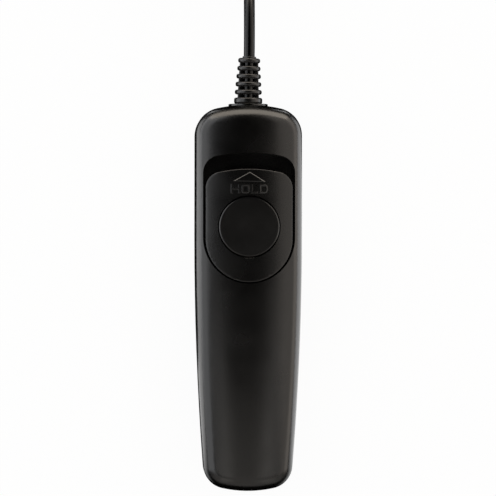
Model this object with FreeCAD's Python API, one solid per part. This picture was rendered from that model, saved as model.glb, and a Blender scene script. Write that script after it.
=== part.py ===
"""A wired shutter release for a camera, lying on its back.

X runs across the handle, +Y along it towards the cord, and +Z up through the button. The origin is on the
surface that the handle lies on, under the middle of its length. Sizes are in millimetres.
"""
import FreeCAD, Part
import math
import os

V = FreeCAD.Vector

# Handle, outside
handle_length = 105.2        # over the collar round the cord
handle_width = 29.0
handle_thickness = 20.0      # at the top of the crown
crown_radius = 36.0          # of the front, across the handle
crown_length_radius = 560.0  # of the front, along the handle
crown_top_y = 18.0           # where the front is highest
side_radius = 826.0          # of the long taper towards the lower end
side_taper_y = 16.6          # where that taper starts
upper_end_radius = 42.0
lower_end_radius = 34.0
upper_corner_radius = 7.5
lower_corner_radius = 6.5
front_edge_radius = 4.5
rear_edge_radius = 4.0
wall = 1.8
split_z = 9.5                # joint of the two shells, and the axis of the cord
groove = 0.2                 # shadow line at the joint of the shells
lip_height = 1.0
collar_radius = 5.35
collar_height = 0.4
collar_chamfer = 0.1

# Slider and its recess
slider_width = 23.4
slider_length = 30.55
slider_setback = 17.45       # from the upper end of the handle to the slider
slider_top_radius = 40.0
slider_corner_radius = 4.3
slider_rim_radius = 0.22
recess_depth = 4.0
recess_side_gap = 0.75
recess_lower_gap = 0.35
recess_corner_radius = 4.6
hold_travel = 4.0
hold_end_gap = 0.5
floor_thickness = 1.8
window_margin = 0.8          # round the button's flange and its travel
leg_width = 1.5
leg_length = 1.9
leg_root = 0.5               # how far a leg goes up into the plate
barb_reach = 1.2
barb_thickness = 1.1

# Button
button_radius = 8.2
button_from_slider_end = 14.97
button_sink = 0.6            # of its flat top below the crown
button_edge_radius = 0.5
button_wall = 1.4
button_gap = 0.25
bore_chamfer = 0.08
flange_reach = 0.7
flange_thickness = 0.8
press_travel = 2.4
latch_gap = 0.4              # between the pressed tongue and the ledge that holds it down
stem_radius = 2.2
tongue_half_width = 2.5
slide_gap = 0.1              # between flat faces that slide on each other
free_gap = 0.25              # round pieces that move freely

# Leaf switch
leaf_width = 5.0
leaf_thickness = 0.25
leaf_past_button = 9.9       # from the button's middle to the free end
leaf_gap = 1.0
tab_width = 1.4
tab_length = 2.4
tab_root = 0.5
tab_aside = 1.7              # of the two outer tabs from the middle
rivet_radius = 0.7
rivet_height = 0.3
block_length = 11.0
block_width = 14.0
block_thickness = 4.0
block_stand = 2.0            # above the inside of the rear shell
block_floor = 0.8            # left under the stack's screw holes
block_post_radius = 2.4
block_clear_of_button = 17.0
stack_screw_spacing = 5.4
block_screw_spacing = 9.8
clamp_plate_thickness = 1.05
stem_to_leaf = 0.25
small_edge_radius = 0.6      # of the upright edges of the small blocks and plates

# Screws
small_screw_radius = 0.75
small_head_radius = 1.5
small_head_height = 1.0
case_screw_radius = 0.95
case_head_radius = 1.9
case_head_height = 1.4
case_screw_length = 12.0
cross_length = 1.1           # of the driver's cross, to the head's radius
cross_width = 0.26           # the same
cross_depth = 0.45           # to the head's height
case_counterbore_depth = 2.4
case_boss_radius = 3.0
front_boss_radius = 2.6
thread_gap = 0.05
screw_end_gap = 0.4
upper_screws_below_end = 7.6
upper_screw_spacing = 18.0
lower_screw_above_end = 12.5

# Strain relief
neck_radius = 2.8
neck_flange_radius = 4.2
neck_flange_thickness = 1.6
relief_seat_depth = 0.5      # of the flat ring inside the end wall that the flange lies on
rib_count = 6
rib_pitch = 2.15
rib_thickness = 1.25
rib_edge_radius = 0.45
first_rib_radius = 3.85
last_rib_radius = 3.0
relief_root_radius = 3.0
relief_tip_radius = 2.5
relief_foot = 0.5
relief_lip_radius = 1.85
relief_lip_length = 0.5
relief_window_half_width = 2.0
relief_web = 0.8             # left between a front window and the rear one behind it

# Cord
cord_radius = 1.5
wire_radius = 0.5
jacket_inside = 9.3          # from the inside of the end wall to the cut end of the jacket
jacket_gap = 0.05
cord_clamp_length = 3.4
cord_clamp_width = 11.6
cord_clamp_thickness = 2.6
cord_clamp_spacing = 7.8
cord_clamp_gap = 1.0
cord_clamp_setback = 1.0     # from the cut end of the jacket
clamp_screw_grip = 4.0
wire_on_tab = 1.6            # length of wire that lies on its tab
wire_run_z = 4.6             # of the wires beside the block
wire_bend = 2.5              # along the handle, on the way out from a tab
wire_run_from = 12.0         # past that bend, where the straight run starts
wire_lift = 0.5              # above the straight run, at its two ends
wire_gather = 14.0           # length of the way in from the straight run to the cord
wire_gather_end = 1.2        # length of its last bend
lead_straight = 10.35        # of the cord, past the strain relief
lead_fall = ((0.6, 20.85, 5.0), (6.3, 30.85, 2.1))  # X, distance past the relief, Z of the way down
lead_flat = 39.35            # past the relief, where the cord lies level
ground_wire_from_wall = 1.9
ground_wire_loop = 5.0       # past the tab, before the wire turns back
ground_wire_gather = 4.0     # from the cut end of the cord to where the wire has come in
focus_wire_from_wall = 3.7
focus_wire_loop = 2.2
focus_wire_gather = 7.0
shutter_wire_from_wall = 2.7
shutter_wire_loop = 3.0
shutter_wire_gather = 5.0
wire_spread = 1.2            # between the wires where they enter the cord
coil_pitch = 3.55            # between turns that lie side by side, and between layers
coil_middle_x = -7.0
coil_past_relief = 49.85     # from the end of the strain relief to the coil's middle
coil_outer_radius = 19.1     # of the centre line of the outermost turn
coil_clear_of_table = 0.35
layer_turns = (1.5, 1.5, 1.5, 1.25)
tuck_radius = 11.0           # of the last bend, from the coil into the plug
tie_width = 3.0
tie_thickness = 0.25
tie_gap = 0.3
tie_under_gap = 0.05
tie_corner_radius = 1.2
tie_twist_radius = 0.7
tie_twist_length = 4.0
tie_twist_lean = (0.3, 0.2, 1.0)

# Plug
plug_relief_length = 6.0
plug_relief_start_radius = 2.0
plug_relief_end_radius = 2.7
plug_relief_ribs = 3
plug_relief_notch = 0.45     # depth of the notches between those ribs
plug_grip_length = 13.0
plug_grip_radius = 3.5
plug_grip_edge = 0.8
plug_groove_count = 4
plug_groove_pitch = 1.9
plug_groove_width = 0.8
plug_groove_depth = 0.25
plug_pin_radius = 1.25
plug_flange_radius = 2.5
plug_flange_thickness = 0.8
plug_sleeve_length = 5.0
plug_insulator_length = 0.5
plug_ring_length = 1.6
plug_tip_length = 2.6
plug_tip_radius = 0.3
plug_notch_radius = 0.9
plug_notch_from = 0.5        # from the start of the tip
plug_notch_length = 0.9
plug_gap = 0.1               # between the plug's grip and the turns under it

# Places that follow from these sizes
upper_end_y = handle_length / 2 - collar_height
lower_end_y = -handle_length / 2
collar_y = handle_length / 2
inner_end_y = upper_end_y - wall
slider_top_y = upper_end_y - slider_setback
slider_bottom_y = slider_top_y - slider_length
recess_top_y = slider_top_y + hold_travel + hold_end_gap
recess_bottom_y = slider_bottom_y - recess_lower_gap
recess_half_width = slider_width / 2 + recess_side_gap
floor_z = handle_thickness - recess_depth
floor_under_z = floor_z - floor_thickness
slider_under_z = floor_z + slide_gap
button_y = slider_bottom_y + button_from_slider_end
button_top_z = handle_thickness - button_sink
flange_radius = button_radius + flange_reach
flange_z = slider_under_z + slide_gap
window_half_width = flange_radius + window_margin
window_bottom_y = button_y - flange_radius - window_margin
window_top_y = button_y + flange_radius + hold_travel + window_margin
tongue_top_y = window_top_y - free_gap
tongue_pressed_z = flange_z + flange_thickness - press_travel
ledge_under_z = tongue_pressed_z + latch_gap
block_top_y = button_y - block_clear_of_button
block_bottom_y = block_top_y - block_length
block_middle_y = (block_top_y + block_bottom_y) / 2
block_bottom_z = wall + block_stand
block_top_z = block_bottom_z + block_thickness
shutter_leaf_z = block_top_z
focus_leaf_z = shutter_leaf_z + leaf_thickness + leaf_gap
common_leaf_z = focus_leaf_z + leaf_thickness + leaf_gap
stack_top_z = common_leaf_z + leaf_thickness
clamp_plate_top_z = stack_top_z + clamp_plate_thickness
stem_bottom_z = stack_top_z + stem_to_leaf
upper_screw_y = upper_end_y - upper_screws_below_end
lower_screw_y = lower_end_y + lower_screw_above_end
jacket_end_y = inner_end_y - jacket_inside
cord_clamp_y = jacket_end_y + cord_clamp_setback
clamp_seat_z = split_z - cord_clamp_gap / 2
cord_clamp_z = split_z + cord_clamp_gap / 2
relief_end_y = collar_y + relief_foot + rib_thickness + (rib_count - 1) * rib_pitch + relief_lip_length
seat_y = inner_end_y - relief_seat_depth
coil_middle_y = relief_end_y + coil_past_relief
first_layer_z = cord_radius + coil_clear_of_table
last_layer_z = first_layer_z + (len(layer_turns) - 1) * coil_pitch
plug_axis_z = last_layer_z + cord_radius + plug_grip_radius + plug_gap


# Simple shapes

def block(x, y, z):
    """A box between two values along each axis."""
    return Part.makeBox(x[1] - x[0], y[1] - y[0], z[1] - z[0], V(x[0], y[0], z[0]))


def post(radius, z, x=0.0, y=0.0):
    """An upright cylinder between two heights."""
    return Part.makeCylinder(radius, z[1] - z[0], V(x, y, z[0]), V(0, 0, 1))


def rod(radius, y, x=0.0, z=split_z):
    """A cylinder along the handle."""
    return Part.makeCylinder(radius, y[1] - y[0], V(x, y[0], z), V(0, 1, 0))


def turned(profile):
    """A solid turned about the Y axis from (distance along Y, radius) corners."""
    corners = [V(radius, along, 0) for along, radius in profile]
    start = V(0, profile[0][0], 0)
    end = V(0, profile[-1][0], 0)
    wire = Part.makePolygon([start] + corners + [end, start])
    return Part.Face(wire).revolve(V(0, 0, 0), V(0, 1, 0), 360)


def raised(wire, z_from, z_to):
    """The solid over a flat outline."""
    face = Part.Face(wire)
    face.translate(V(0, 0, z_from))
    return face.extrude(V(0, 0, z_to - z_from))


def upright_edges(solid):
    """Edges that stand along Z."""
    found = []
    for edge in solid.Edges:
        first, last = edge.Vertexes[0].Point, edge.Vertexes[-1].Point
        if abs(first.x - last.x) < 0.001 and abs(first.y - last.y) < 0.001:
            found.append(edge)
    return found


def top_face(solid):
    return max(solid.Faces, key=lambda face: face.CenterOfMass.z)


def bottom_face(solid):
    return min(solid.Faces, key=lambda face: face.CenterOfMass.z)


def with_parts(solid, parts):
    for part in parts:
        solid = solid.fuse(part)
    return solid


def without(solid, cutters):
    for cutter in cutters:
        solid = solid.cut(cutter)
    return solid


def arc(first, middle, last):
    return Part.Arc(first, middle, last).toShape()


def line(first, last):
    return Part.LineSegment(first, last).toShape()


# Handle form

def circles_meet(first, first_radius, second, second_radius):
    """The two points where two circles in one level plane meet."""
    apart = second - first
    distance = apart.Length
    along = (distance ** 2 + first_radius ** 2 - second_radius ** 2) / (2 * distance)
    aside = math.sqrt(first_radius ** 2 - along ** 2)
    unit = apart * (1 / distance)
    across = V(-unit.y, unit.x, 0)
    return first + unit * along + across * aside, first + unit * along - across * aside


def handle_outline(inset):
    """The outline of the handle seen from the front, with sharp corners."""
    half = handle_width / 2 - inset
    upper = upper_end_radius - inset
    upper_middle = upper_end_y - upper_end_radius
    shoulder = V(half, upper_middle + math.sqrt(upper ** 2 - half ** 2), 0)
    lower_middle = V(0, lower_end_y + lower_end_radius, 0)
    side_middle = V(handle_width / 2 - side_radius, side_taper_y, 0)
    meetings = circles_meet(lower_middle, lower_end_radius - inset, side_middle, side_radius - inset)
    foot = min(meetings, key=lambda point: point.y)
    taper = V(half, side_taper_y, 0)
    halfway = ((foot - side_middle) + (taper - side_middle)).normalize() * (side_radius - inset) + side_middle

    def left(point):
        return V(-point.x, point.y, 0)

    return Part.Wire([
        arc(left(shoulder), V(0, upper_end_y - inset, 0), shoulder),
        line(shoulder, taper),
        arc(taper, halfway, foot),
        arc(foot, V(0, lower_end_y + inset, 0), left(foot)),
        arc(left(foot), left(halfway), left(taper)),
        line(left(taper), left(shoulder)),
    ])


def crown(inset):
    """A long block whose top is the front of the handle, curved both across and along it."""
    across = crown_radius - inset
    top = handle_thickness - inset
    reach = handle_width * 0.6
    rise = math.sqrt(across ** 2 - reach ** 2) - across
    low = -handle_thickness
    edge = top + rise
    profile = Part.Wire([
        arc(V(-reach, 0, edge), V(0, 0, top), V(reach, 0, edge)),
        line(V(reach, 0, edge), V(reach, 0, low)),
        line(V(reach, 0, low), V(-reach, 0, low)),
        line(V(-reach, 0, low), V(-reach, 0, edge)),
    ])
    face = Part.Face(profile)
    face.translate(V(0, crown_top_y, 0))
    axle = V(0, crown_top_y, handle_thickness - crown_length_radius)
    sweep = math.degrees(handle_length / crown_length_radius)
    face.rotate(axle, V(1, 0, 0), -sweep)
    return face.revolve(axle, V(1, 0, 0), 2 * sweep)


def handle_form(inset):
    """The whole handle as one closed form, or the same form drawn in by a wall."""
    form = raised(handle_outline(inset), inset, handle_thickness + 1)
    edges = upright_edges(form)
    form = form.makeFillet(upper_corner_radius - inset, [e for e in edges if e.CenterOfMass.y > 0])
    edges = [e for e in upright_edges(form) if e.CenterOfMass.y < lower_end_y + lower_corner_radius]
    form = form.makeFillet(lower_corner_radius - inset, edges)
    form = form.common(crown(inset))
    form = form.makeFillet(front_edge_radius - inset, top_face(form).Edges)
    return form.makeFillet(rear_edge_radius - inset, bottom_face(form).Edges)


def half_space(front):
    size = handle_length
    z = (split_z, split_z + size) if front else (split_z - size, split_z)
    return block((-size, size), (-size, size), z)


def slab(z_from, z_to):
    size = handle_length
    return block((-size, size), (-size, size), (z_from, z_to))


# Slider outline, used by the slider and by its recess

def plate(half_width, top_y, bottom_y, top_radius, corner_radius, z_from, z_to):
    """A plate with a shallow arc at the top and a half circle at the bottom."""
    shoulder_y = top_y - top_radius + math.sqrt(top_radius ** 2 - half_width ** 2)
    round_y = bottom_y + half_width
    outline = Part.Wire([
        arc(V(-half_width, shoulder_y, 0), V(0, top_y, 0), V(half_width, shoulder_y, 0)),
        line(V(half_width, shoulder_y, 0), V(half_width, round_y, 0)),
        arc(V(half_width, round_y, 0), V(0, bottom_y, 0), V(-half_width, round_y, 0)),
        line(V(-half_width, round_y, 0), V(-half_width, shoulder_y, 0)),
    ])
    solid = raised(outline, z_from, z_to)
    corners = [e for e in upright_edges(solid) if abs(e.CenterOfMass.y - shoulder_y) < 0.01]
    return solid.makeFillet(corner_radius, corners)


def recess(grow, z_from, z_to):
    return plate(
        recess_half_width + grow, recess_top_y + grow, recess_bottom_y - grow,
        slider_top_radius + grow, recess_corner_radius + grow, z_from, z_to,
    )


# Shells

case_screw_places = [
    (-upper_screw_spacing / 2, upper_screw_y),
    (upper_screw_spacing / 2, upper_screw_y),
    (0.0, lower_screw_y),
]
block_screw_places = [(side * block_screw_spacing / 2, block_middle_y) for side in (-1, 1)]
clamp_screw_places = [
    (side * cord_clamp_spacing / 2, cord_clamp_y + cord_clamp_length / 2) for side in (-1, 1)
]


def shadow_groove(outside):
    """A shallow groove all round, half in each shell."""
    ring = outside.cut(handle_form(groove))
    return ring.common(slab(split_z - groove / 2, split_z + groove / 2))


def end_collar():
    collar = rod(collar_radius, (seat_y, collar_y))
    rim = [e for e in collar.Edges if e.Closed and e.CenterOfMass.y > collar_y - collar_height]
    return collar.makeChamfer(collar_chamfer, rim)


def cord_hole():
    return rod(neck_radius + slide_gap, (inner_end_y - wall, collar_y + wall))


def front_shell(outside, middle, cavity):
    """The front, with the tub that the slider runs in and the window for button and legs."""
    top_z = handle_thickness + 1
    shell = outside.cut(cavity).common(half_space(True))
    shell = shell.fuse(end_collar().common(half_space(True)))
    shell = shell.cut(middle.common(slab(split_z, split_z + lip_height + slide_gap)))
    bosses = []
    for x, y in case_screw_places:
        bosses.append(post(front_boss_radius, (split_z, top_z), x, y).common(middle))
    shell = with_parts(shell, [recess(wall, floor_under_z, top_z).common(outside)] + bosses)
    window = block(
        (-window_half_width, window_half_width),
        (window_bottom_y, window_top_y),
        (floor_under_z - 1, top_z),
    )
    ledge_relief = block(
        (-tongue_half_width - window_margin, tongue_half_width + window_margin),
        (window_top_y - 1, tongue_top_y + hold_travel + window_margin),
        (floor_under_z - 1, ledge_under_z),
    )
    cuts = [
        recess(0, floor_z, top_z),
        window.makeFillet(window_margin, upright_edges(window)),
        ledge_relief,
        cord_hole(),
        shadow_groove(outside),
    ]
    pilot_top = case_counterbore_depth + case_screw_length + thread_gap
    for x, y in case_screw_places:
        cuts.append(post(case_screw_radius + thread_gap, (split_z - 1, pilot_top), x, y))
    return without(shell, cuts).removeSplitter()


def rear_shell(outside, cavity):
    """The rear, with screw bosses, the lip that centres the front, and the seats of block and clamp."""
    shell = outside.cut(cavity).common(half_space(False))
    lip = handle_form(wall / 2 + slide_gap).cut(cavity)
    seat_half = cord_clamp_width / 2
    clamp_y = (cord_clamp_y, cord_clamp_y + cord_clamp_length)
    parts = [
        lip.common(slab(split_z - lip_height / 2, split_z + lip_height)),
        end_collar().common(half_space(False)),
        block((-seat_half, seat_half), clamp_y, (wall / 2, clamp_seat_z)),
    ]
    cuts = [cord_hole(), shadow_groove(outside), rod(cord_radius + jacket_gap, clamp_y)]
    for x, y in case_screw_places:
        parts.append(post(case_boss_radius, (wall / 2, split_z), x, y))
        cuts.append(post(case_head_radius + free_gap, (-1, case_counterbore_depth), x, y))
        cuts.append(post(case_screw_radius + thread_gap, (-1, split_z + 1), x, y))
    for x, y in block_screw_places:
        parts.append(post(block_post_radius, (wall / 2, block_bottom_z), x, y))
        cuts.append(post(small_screw_radius + thread_gap, (wall / 2, block_bottom_z + 1), x, y))
    for x, y in clamp_screw_places:
        cuts.append(post(small_screw_radius + thread_gap, (wall, split_z), x, y))
    return without(with_parts(shell, parts), cuts).removeSplitter()


# Slider and button

def hold_slider():
    """The plate that the button sits in, with four snap legs that reach through the floor's window."""
    half = slider_width / 2
    body = plate(
        half, slider_top_y, slider_bottom_y, slider_top_radius, slider_corner_radius,
        slider_under_z, handle_thickness + 1,
    )
    body = body.common(crown(0))
    body = body.makeFillet(slider_rim_radius, top_face(body).Edges)
    bore = button_radius + button_gap
    body = body.cut(post(bore, (0, handle_thickness + 1), 0, button_y))
    flare = 2 * bore_chamfer
    flare_foot = V(0, button_y, handle_thickness - bore_chamfer)
    cone = Part.makeCone(bore, bore + flare, flare, flare_foot, V(0, 0, 1))
    pocket_z = flange_z + flange_thickness + free_gap
    pocket = post(flange_radius + free_gap, (0, pocket_z), 0, button_y)
    channel = block(
        (-tongue_half_width - free_gap, tongue_half_width + free_gap),
        (button_y, tongue_top_y + free_gap),
        (0, pocket_z),
    )
    body = body.cut([cone, pocket, channel])
    legs = []
    barb_top = floor_under_z - slide_gap
    outside = window_half_width - free_gap
    for side in (-1, 1):
        for end in (-1, 1):
            corner_y = button_y + end * flange_radius
            y = sorted((corner_y + end * free_gap, corner_y + end * (free_gap - leg_length)))
            x = sorted((side * outside, side * (outside - leg_width)))
            hook = sorted((side * (outside - leg_width), side * (outside + barb_reach)))
            legs.append(block(x, y, (barb_top - barb_thickness, slider_under_z + leg_root)))
            legs.append(block(hook, y, (barb_top - barb_thickness, barb_top)))
    return body.fuse(legs).removeSplitter()


def release_button():
    """A round cap with a flange that keeps it in the slider, a stem, and the tongue that holds it down."""
    cap = post(button_radius, (flange_z, button_top_z), 0, button_y)
    cap = cap.makeFillet(button_edge_radius, top_face(cap).Edges)
    flange = post(flange_radius, (flange_z, flange_z + flange_thickness), 0, button_y)
    hollow = post(button_radius - button_wall, (flange_z - 1, button_top_z - button_wall), 0, button_y)
    stem = post(stem_radius, (stem_bottom_z, button_top_z - button_wall / 2), 0, button_y)
    tongue = block(
        (-tongue_half_width, tongue_half_width),
        (button_y + button_radius - button_wall, tongue_top_y),
        (flange_z, flange_z + flange_thickness),
    )
    return cap.fuse([flange, tongue]).cut(hollow).fuse(stem).removeSplitter()


# Leaf switch

stack_screw_places = [
    block_middle_y - stack_screw_spacing / 2,
    block_middle_y + stack_screw_spacing / 2,
]


def stack_holes(radius, z_from, z_to):
    return [post(radius, (z_from, z_to), 0, y) for y in stack_screw_places]


def contact_block():
    base = block(
        (-block_width / 2, block_width / 2), (block_bottom_y, block_top_y), (block_bottom_z, block_top_z),
    )
    base = base.makeFillet(small_edge_radius, upright_edges(base))
    hole_radius = small_screw_radius + thread_gap
    holes = stack_holes(hole_radius, block_bottom_z + block_floor, block_top_z + 1)
    for x, y in block_screw_places:
        holes.append(post(hole_radius, (block_bottom_z - 1, block_top_z + 1), x, y))
    return base.cut(holes)


def leaf(z, tab_x, rivet_below):
    """A spring strip, clamped at its lower end, with a solder tab there and a contact at its free end."""
    free_end = button_y + leaf_past_button
    strip = block((-leaf_width / 2, leaf_width / 2), (block_bottom_y, free_end), (z, z + leaf_thickness))
    tab = block(
        (tab_x - tab_width / 2, tab_x + tab_width / 2),
        (block_bottom_y - tab_length, block_bottom_y + tab_root),
        (z, z + leaf_thickness),
    )
    top = z + leaf_thickness
    rivet_z = (z - rivet_height, z) if rivet_below else (top, top + rivet_height)
    rivet = post(rivet_radius, rivet_z, 0, free_end - 2 * rivet_radius)
    strip = strip.fuse([tab, rivet])
    return strip.cut(stack_holes(small_screw_radius + free_gap, z - 1, z + 1)).removeSplitter()


def stack_plate(z_from, z_to):
    """A plate as wide as the leaves and as long as the block, with the two screw holes."""
    half = leaf_width / 2
    solid = block((-half, half), (block_bottom_y, block_top_y), (z_from, z_to))
    return solid.cut(stack_holes(small_screw_radius + thread_gap, z_from - 1, z_to + 1))


def spacer(z):
    return stack_plate(z, z + leaf_gap)


def clamp_plate():
    strip = stack_plate(stack_top_z, clamp_plate_top_z)
    corners = [e for e in upright_edges(strip) if abs(e.CenterOfMass.x) > small_screw_radius * 2]
    return strip.makeFillet(small_edge_radius, corners)


# Screws

def screw(radius, length, head_radius, head_height):
    """A cross-recess screw with its head's seat at the origin, its shank towards -Z."""
    head = post(head_radius, (0, head_height))
    head = head.makeFillet(head_height * cross_depth, top_face(head).Edges)
    shank = post(radius, (-length, 0))
    arm = (-head_radius * cross_length / 2, head_radius * cross_length / 2)
    width = (-head_radius * cross_width / 2, head_radius * cross_width / 2)
    depth = (head_height * (1 - cross_depth), head_height + 1)
    return head.fuse(shank).cut([block(arm, width, depth), block(width, arm, depth)])


def screws_down(places, z, length):
    """Small screws with their heads up."""
    group = []
    for x, y in places:
        one = screw(small_screw_radius, length, small_head_radius, small_head_height)
        one.translate(V(x, y, z))
        group.append(one)
    return Part.makeCompound(group)


def case_screws():
    group = []
    for x, y in case_screw_places:
        one = screw(case_screw_radius, case_screw_length, case_head_radius, case_head_height)
        one.rotate(V(0, 0, 0), V(1, 0, 0), 180)
        one.translate(V(x, y, case_counterbore_depth))
        group.append(one)
    return Part.makeCompound(group)


def cord_clamp():
    """A bar across the cord that two screws draw down onto it."""
    top = cord_clamp_z + cord_clamp_thickness
    y = (cord_clamp_y, cord_clamp_y + cord_clamp_length)
    bar = block((-cord_clamp_width / 2, cord_clamp_width / 2), y, (cord_clamp_z, top))
    bar = bar.makeFillet(small_edge_radius, upright_edges(bar))
    cuts = [rod(cord_radius + jacket_gap, (y[0] - 1, y[1] + 1))]
    for x, middle in clamp_screw_places:
        cuts.append(post(small_screw_radius + thread_gap, (cord_clamp_z - 1, top + 1), x, middle))
    return bar.cut(cuts)


# Strain relief

def strain_relief():
    """A ribbed sleeve of soft plastic: windows in its front and rear let it bend with the cord."""
    ribs_from = collar_y + relief_foot
    ribs_to = relief_end_y - relief_lip_length
    body = turned([
        (seat_y - neck_flange_thickness, neck_flange_radius),
        (seat_y, neck_flange_radius),
        (seat_y, neck_radius),
        (ribs_from, neck_radius),
        (ribs_from, relief_root_radius),
        (ribs_to, relief_tip_radius),
        (ribs_to, relief_lip_radius),
        (relief_end_y, relief_lip_radius),
    ])
    body.translate(V(0, 0, split_z))
    windows = []
    ribs = []
    for number in range(rib_count):
        start = ribs_from + number * rib_pitch
        share = number / (rib_count - 1)
        radius = first_rib_radius + share * (last_rib_radius - first_rib_radius)
        rib = rod(radius, (start, start + rib_thickness))
        rims = [e for e in rib.Edges if e.Closed]
        ribs.append(rib.makeFillet(rib_edge_radius, rims))
        if number < rib_count - 1:
            half = relief_window_half_width
            gap_y = (start + rib_thickness, start + rib_pitch)
            above = (split_z + relief_web / 2, split_z + first_rib_radius)
            below = (split_z - first_rib_radius, split_z - relief_web / 2)
            windows += [block((-half, half), gap_y, above), block((-half, half), gap_y, below)]
    body = body.cut(windows).fuse(ribs)
    return body.cut(rod(cord_radius + jacket_gap, (jacket_end_y, relief_end_y + 1)))


# Cord

def corner_arc(start, corner, end):
    """The arc that touches two equal straight pieces at their ends."""
    first = (corner - start).normalize()
    second = (end - corner).normalize()
    half_turn = first.getAngle(second) / 2
    inward = (second - first).normalize()
    reach = (corner - start).Length
    radius = reach / math.tan(half_turn)
    middle = corner + inward * (radius / math.cos(half_turn) - radius)
    return arc(start, middle, end)


def routed(points):
    """Straight runs joined by tangent arcs, and the radii of those arcs."""
    edges = []
    radii = []
    at = points[0]
    for before, corner, after in zip(points, points[1:], points[2:]):
        reach = 0.45 * min((corner - before).Length, (after - corner).Length)
        start = corner + (before - corner).normalize() * reach
        end = corner + (after - corner).normalize() * reach
        edges += [line(at, start), corner_arc(start, corner, end)]
        half_turn = (corner - before).getAngle(after - corner) / 2
        radii.append(reach / math.tan(half_turn))
        at = end
    edges.append(line(at, points[-1]))
    return Part.Wire(edges), radii


def tube(path, radius):
    first = path.Edges[0]
    ring = Part.makeCircle(radius, first.valueAt(first.FirstParameter), first.tangentAt(first.FirstParameter))
    return path.makePipeShell([Part.Wire(ring)], True, False)


def report_tube(name, path, radius, solid, radii):
    expected = math.pi * radius ** 2 * path.Length
    tightest = min(radii)
    print(f"{name}: length {path.Length:.1f}, tightest radius {tightest:.1f}, "
          f"volume {solid.Volume:.1f} against section times length {expected:.1f}")


coil_start = V(coil_middle_x + coil_outer_radius, coil_middle_y - 2 * cord_radius, first_layer_z)
lead_points = [
    V(0, relief_end_y, split_z),
    V(0, relief_end_y + lead_straight, split_z),
    *(V(x, relief_end_y + past, z) for x, past, z in lead_fall),
    V(coil_start.x, relief_end_y + lead_flat, first_layer_z),
    coil_start,
]


def cord_jacket():
    return rod(cord_radius, (jacket_end_y, relief_end_y))


def coil_place(turns):
    """Where the centre line is after some turns: in and out again, a layer higher each time."""
    start = 0.0
    inward = True
    radius = coil_outer_radius
    z = first_layer_z
    for count in layer_turns:
        sign = -1 if inward else 1
        if turns <= start + count:
            radius += sign * coil_pitch * (turns - start)
            break
        radius += sign * coil_pitch * count
        start += count
        climb = min((turns - start) / 0.5, 1.0)
        radius += sign * coil_pitch * 0.5 * climb * (1 - climb)
        z += coil_pitch * (1 - math.cos(math.pi * climb)) / 2
        if turns <= start + 0.5:
            break
        start += 0.5
        inward = not inward
    angle = 2 * math.pi * turns
    return V(coil_middle_x + radius * math.cos(angle), coil_middle_y + radius * math.sin(angle), z)


def coil_heading(turns):
    step = 0.001
    low = max(turns - step, 0.0)
    return (coil_place(turns + step) - coil_place(low)).normalize()


def biarc(start, start_heading, end, end_heading):
    """Two arcs that leave along one heading and arrive along another."""
    span = end - start
    headings = start_heading + end_heading
    bend = 2 * (1 - start_heading.dot(end_heading))
    across = span.dot(headings)
    reach = (-across + math.sqrt(across ** 2 + bend * span.dot(span))) / bend
    first_corner = start + start_heading * reach
    second_corner = end - end_heading * reach
    middle = (first_corner + second_corner) * 0.5
    return [corner_arc(start, first_corner, middle), corner_arc(middle, second_corner, end)]


def coil_path():
    """The coil's centre line: straight in, quarter turns as pairs of arcs, the tuck, straight out."""
    straight = 2 * cord_radius
    quarters = int(round(4 * (sum(layer_turns) + 0.5 * len(layer_turns))))
    places = [coil_place(number / 4) for number in range(quarters + 1)]
    headings = [V(0, 1, 0)] + [coil_heading(number / 4) for number in range(1, quarters)] + [V(1, 0, 0)]
    edges = [line(places[0] - headings[0] * straight, places[0])]
    for number in range(quarters):
        edges += biarc(places[number], headings[number], places[number + 1], headings[number + 1])
    last = places[-1]
    tuck_end = V(last.x + tuck_radius, last.y + tuck_radius, plug_axis_z)
    edges += biarc(last, headings[-1], tuck_end, V(0, 1, 0))
    edges.append(line(tuck_end, tuck_end + V(0, straight, 0)))
    return Part.Wire(edges)


def least_gap(path, diameter):
    """The least free space between stretches of the coil that aren't neighbours along it."""
    count = int(path.Length)
    points = path.discretize(count)
    step = path.Length / (count - 1)
    skip = int(3 * diameter / step)
    nearest = 1000.0
    for first in range(count):
        a = points[first]
        for second in range(first + skip, count):
            b = points[second]
            if abs(a.z - b.z) < nearest and abs(a.x - b.x) < nearest:
                nearest = min(nearest, a.distanceToPoint(b))
    return nearest - diameter


def coil_radii(path):
    return [e.Curve.Radius for e in path.Edges if hasattr(e.Curve, "Radius")]


def across_tie(solid):
    """The four corner edges of a block that the tie is bent round."""
    return [e for e in solid.Edges if abs(e.tangentAt(e.FirstParameter).y) > 0.9]


def cord_tie():
    """A flat tie round the whole bundle, on the side away from the plug, its ends twisted together."""
    inner = coil_middle_x - coil_outer_radius + layer_turns[0] * coil_pitch + cord_radius + tie_gap
    outer = coil_middle_x - coil_outer_radius - cord_radius - tie_gap
    low = coil_clear_of_table - tie_under_gap
    high = last_layer_z + coil_pitch / 2 + cord_radius + tie_gap
    y = (coil_middle_y - tie_width / 2, coil_middle_y + tie_width / 2)
    thick = tie_thickness
    outside = block((outer - thick, inner + thick), y, (low - thick, high + thick))
    outside = outside.makeFillet(tie_corner_radius, across_tie(outside))
    inside = block((outer, inner), (y[0] - 1, y[1] + 1), (low, high))
    inside = inside.makeFillet(tie_corner_radius - thick, across_tie(inside))
    twist_foot = V((inner + outer) / 2, coil_middle_y, high + thick / 2)
    twist = Part.makeCylinder(tie_twist_radius, tie_twist_length, twist_foot, V(*tie_twist_lean))
    return outside.cut(inside).fuse(twist)


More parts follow.
